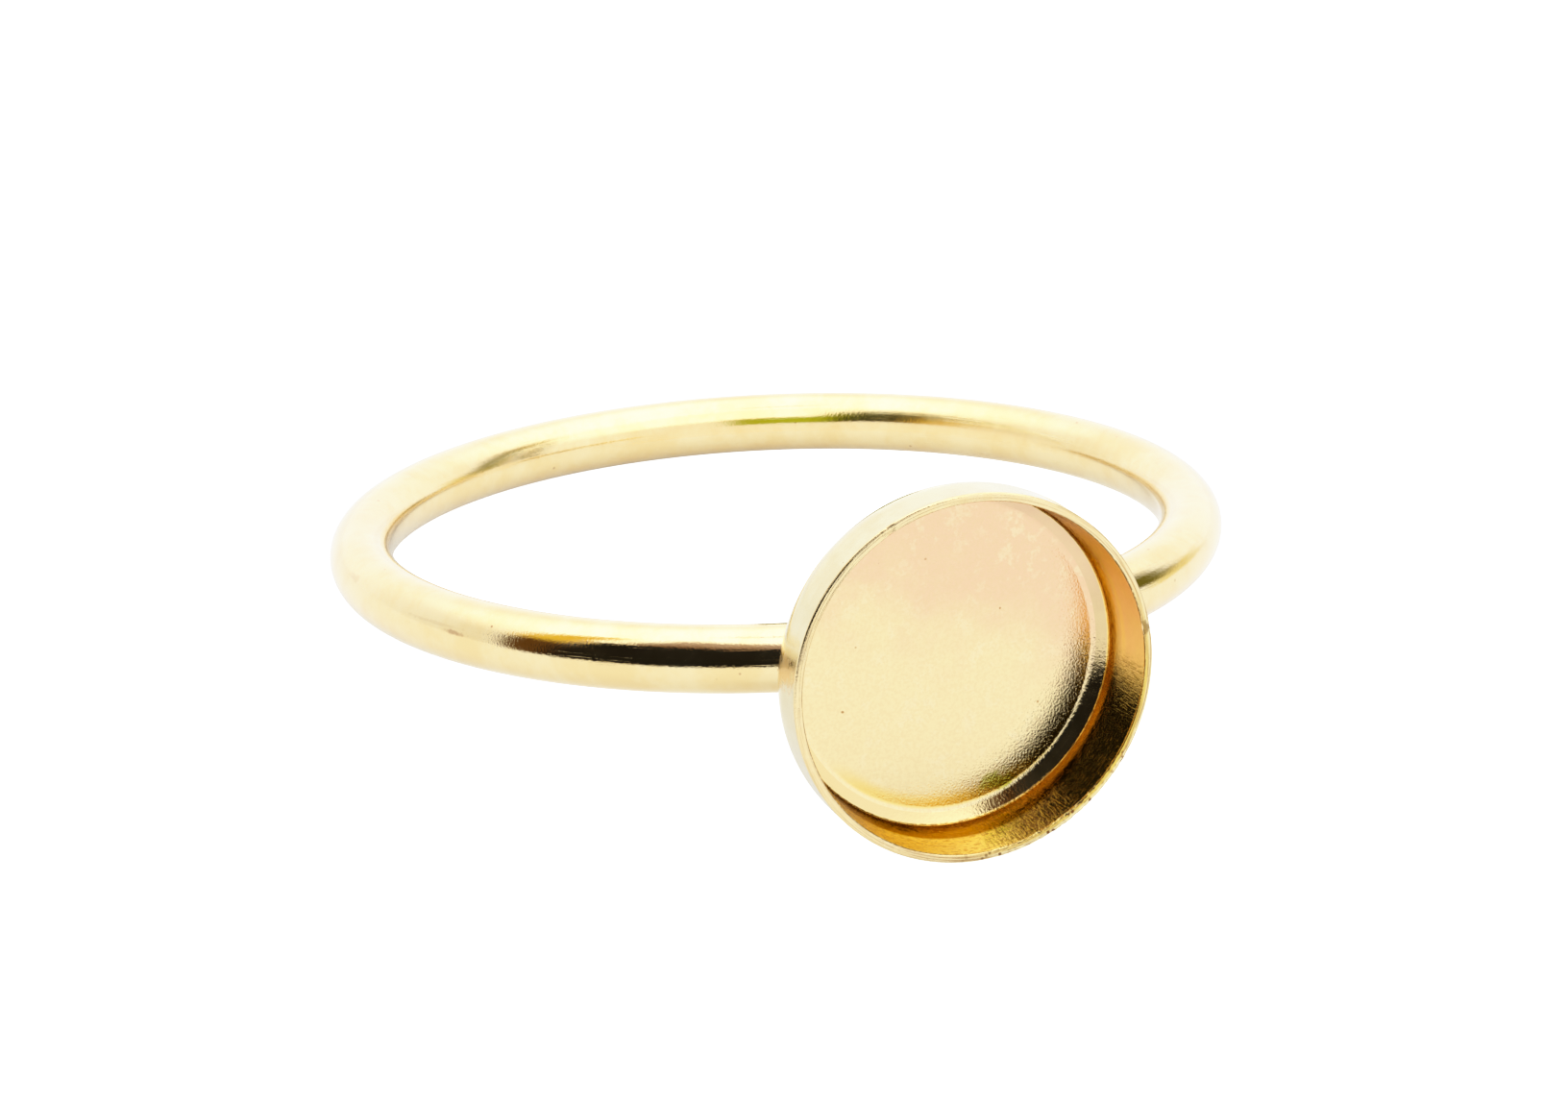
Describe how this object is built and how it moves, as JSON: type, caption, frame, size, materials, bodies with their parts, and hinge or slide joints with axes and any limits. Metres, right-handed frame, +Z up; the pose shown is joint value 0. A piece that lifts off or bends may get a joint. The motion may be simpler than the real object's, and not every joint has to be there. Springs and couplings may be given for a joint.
{
  "type": "bezel cup ring",
  "caption": "Finger ring of plain round wire with an empty round bezel cup soldered to its front, lying on its side as it rests by itself.",
  "frame": {"origin": "under the middle of the ring's box, on the surface that it lies on", "axes": "+Z up; the cup looks towards -Y and 8.6 degrees upwards, and the finger's axis leans by the same angle from +Z towards +Y; X runs across the ring"},
  "size_m": [0.022, 0.0244, 0.0084],
  "materials": {
    "gold": "pale yellow gold-filled metal, polished outside, satin on the cup's floor"
  },
  "bodies": {
    "root": {"bezel_cup_ring": "gold"}
  },
  "joints": []
}
